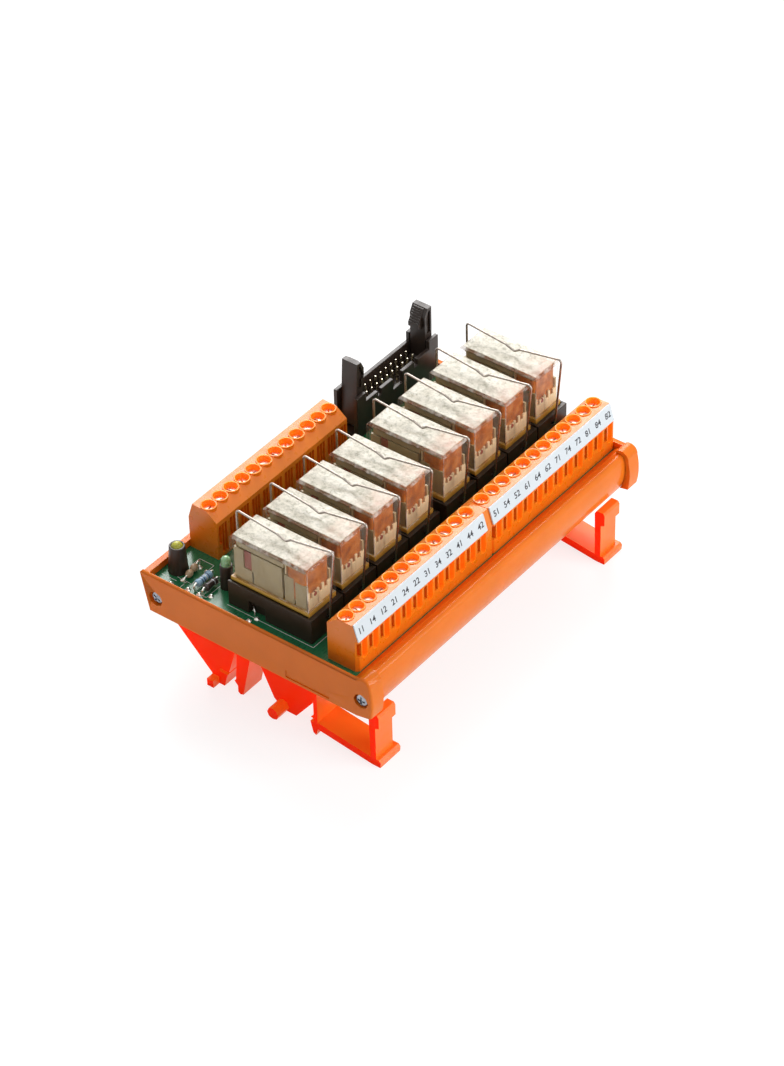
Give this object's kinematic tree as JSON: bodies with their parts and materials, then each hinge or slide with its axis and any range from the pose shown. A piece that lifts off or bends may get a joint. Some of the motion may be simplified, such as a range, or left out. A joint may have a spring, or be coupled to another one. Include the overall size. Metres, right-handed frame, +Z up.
{
  "type": "rail-mounted relay module board",
  "caption": "Relay interface module: plug-in relays with wire bails on a green board, screw terminals and a latched flat-cable header, in an orange carrier with rail feet.",
  "frame": {"origin": "middle of the footprint, on the plane of the feet's undersides", "axes": "+X along the module, +Y from the output terminals to the input terminals, +Z up"},
  "size_m": [0.1314, 0.0846, 0.0618],
  "materials": {
    "orange_shell": "smooth satin",
    "orange_foot": "smooth satin",
    "orange_block": "smooth satin",
    "green_board": "glossy solder mask",
    "steel": "plated",
    "clamp_metal": "plated",
    "white_strip": "matt",
    "black_plastic": "satin",
    "pin_metal": "plated",
    "yellow_lens": "translucent",
    "green_lens": "translucent",
    "blue_body": "lacquered",
    "black_body": "moulded",
    "tan_body": "dipped",
    "copper": "enamelled wire",
    "socket_black": "satin",
    "relay_ivory": "moulded",
    "clear_cover": "clear plastic",
    "bail_wire": "plated wire"
  },
  "bodies": {
    "root": {"carrier_profile": "orange_shell", "end_plate_near": "orange_shell", "end_plate_far": "orange_shell", "rail_foot_near": "orange_foot", "rail_foot_far": "orange_foot", "output_block_near": "orange_block", "output_block_far": "orange_block", "input_block": "orange_block", "circuit_board": "green_board", "end_plate_screws": "steel", "terminal_screws": "steel", "terminal_clamps": "clamp_metal", "marker_strip_near": "white_strip", "marker_strip_far": "white_strip", "header_housing": "black_plastic", "led_spacers": "black_plastic", "header_pins": "pin_metal", "power_led": "yellow_lens", "status_leds": "green_lens", "resistor": "blue_body", "diode": "black_body", "bead_capacitors": "tan_body", "relay_coils": "copper", "relay_socket_1": "socket_black", "relay_socket_2": "socket_black", "relay_socket_3": "socket_black", "relay_socket_4": "socket_black", "relay_socket_5": "socket_black", "relay_socket_6": "socket_black", "relay_socket_7": "socket_black", "relay_socket_8": "socket_black", "relay_body_1": "relay_ivory", "relay_body_2": "relay_ivory", "relay_body_3": "relay_ivory", "relay_body_4": "relay_ivory", "relay_body_5": "relay_ivory", "relay_body_6": "relay_ivory", "relay_body_7": "relay_ivory", "relay_body_8": "relay_ivory", "relay_cover_1": "clear_cover", "relay_cover_2": "clear_cover", "relay_cover_3": "clear_cover", "relay_cover_4": "clear_cover", "relay_cover_5": "clear_cover", "relay_cover_6": "clear_cover", "relay_cover_7": "clear_cover", "relay_cover_8": "clear_cover"},
    "bail_1": {"retaining_bail_1": "bail_wire"},
    "bail_2": {"retaining_bail_2": "bail_wire"},
    "bail_3": {"retaining_bail_3": "bail_wire"},
    "bail_4": {"retaining_bail_4": "bail_wire"},
    "bail_5": {"retaining_bail_5": "bail_wire"},
    "bail_6": {"retaining_bail_6": "bail_wire"},
    "bail_7": {"retaining_bail_7": "bail_wire"},
    "bail_8": {"retaining_bail_8": "bail_wire"},
    "latch_near": {"header_latch_near": "black_plastic"},
    "latch_far": {"header_latch_far": "black_plastic"}
  },
  "joints": [
    {"name": "bail_hinge_1", "type": "hinge", "parent": "root", "child": "bail_1", "pos_m": [-0.05165, -0.00055, 0.0364], "axis": [0, 1, 0], "range_deg": [-22, 22]},
    {"name": "bail_hinge_2", "type": "hinge", "parent": "root", "child": "bail_2", "pos_m": [-0.03641, -0.00055, 0.0364], "axis": [0, 1, 0], "range_deg": [-22, 22]},
    {"name": "bail_hinge_3", "type": "hinge", "parent": "root", "child": "bail_3", "pos_m": [-0.02117, -0.00055, 0.0364], "axis": [0, 1, 0], "range_deg": [-22, 22]},
    {"name": "bail_hinge_4", "type": "hinge", "parent": "root", "child": "bail_4", "pos_m": [-0.00593, -0.00055, 0.0364], "axis": [0, 1, 0], "range_deg": [-22, 22]},
    {"name": "bail_hinge_5", "type": "hinge", "parent": "root", "child": "bail_5", "pos_m": [0.01185, -0.00055, 0.0364], "axis": [0, 1, 0], "range_deg": [-22, 22]},
    {"name": "bail_hinge_6", "type": "hinge", "parent": "root", "child": "bail_6", "pos_m": [0.02709, -0.00055, 0.0364], "axis": [0, 1, 0], "range_deg": [-22, 22]},
    {"name": "bail_hinge_7", "type": "hinge", "parent": "root", "child": "bail_7", "pos_m": [0.04233, -0.00055, 0.0364], "axis": [0, 1, 0], "range_deg": [-22, 22]},
    {"name": "bail_hinge_8", "type": "hinge", "parent": "root", "child": "bail_8", "pos_m": [0.05757, -0.00055, 0.0364], "axis": [0, 1, 0], "range_deg": [-22, 22]},
    {"name": "latch_hinge_near", "type": "hinge", "parent": "root", "child": "latch_near", "pos_m": [0.02479, 0.0352, 0.0351], "axis": [0, -1, 0], "range_deg": [-8, 29]},
    {"name": "latch_hinge_far", "type": "hinge", "parent": "root", "child": "latch_far", "pos_m": [0.05959, 0.0352, 0.0351], "axis": [0, 1, 0], "range_deg": [-12, 25]}
  ]
}
